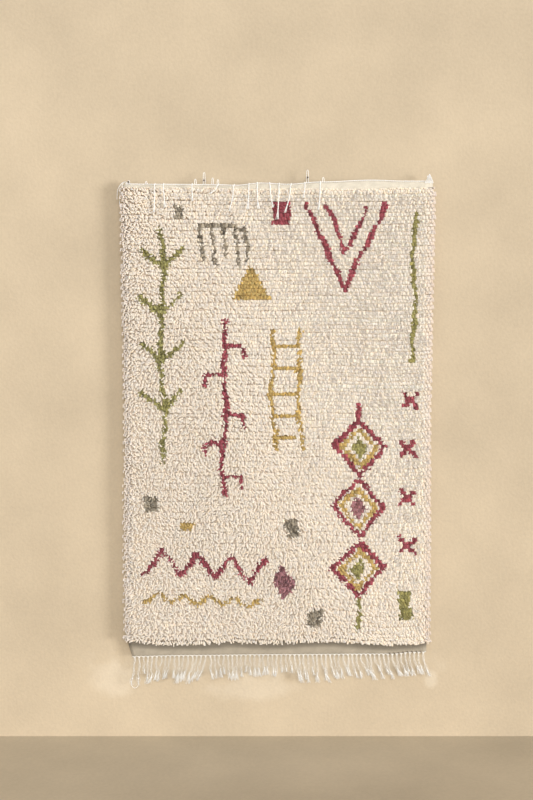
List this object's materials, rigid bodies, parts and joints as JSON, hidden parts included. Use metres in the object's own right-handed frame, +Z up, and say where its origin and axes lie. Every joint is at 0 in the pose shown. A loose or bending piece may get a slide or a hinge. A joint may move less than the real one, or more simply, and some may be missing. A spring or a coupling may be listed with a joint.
{
  "type": "hanging azilal rug with wall nails",
  "caption": "Small hand-knotted azilal wool rug with plain woven ends and a knotted fringe, hung flat from loops on wall nails.",
  "frame": {"origin": "on the wall plane, at the middle of the rug's top edge", "axes": "+X to the right as seen from the front, +Y into the wall, +Z up along the hanging length"},
  "size_m": [1.0208, 0.0262, 1.6921],
  "materials": {
    "pile_wool": "cream wool pile with raspberry, mustard, olive and grey motifs, and plain woven cream ends",
    "warp_cord": "off-white twisted wool and cotton cord",
    "nail_steel": "dark plain steel"
  },
  "bodies": {
    "root": {"rug_body": "pile_wool", "fringe_bottom": "warp_cord", "fringe_top": "warp_cord", "nail_1": "nail_steel", "nail_2": "nail_steel", "nail_3": "nail_steel", "nail_4": "nail_steel"}
  },
  "joints": []
}
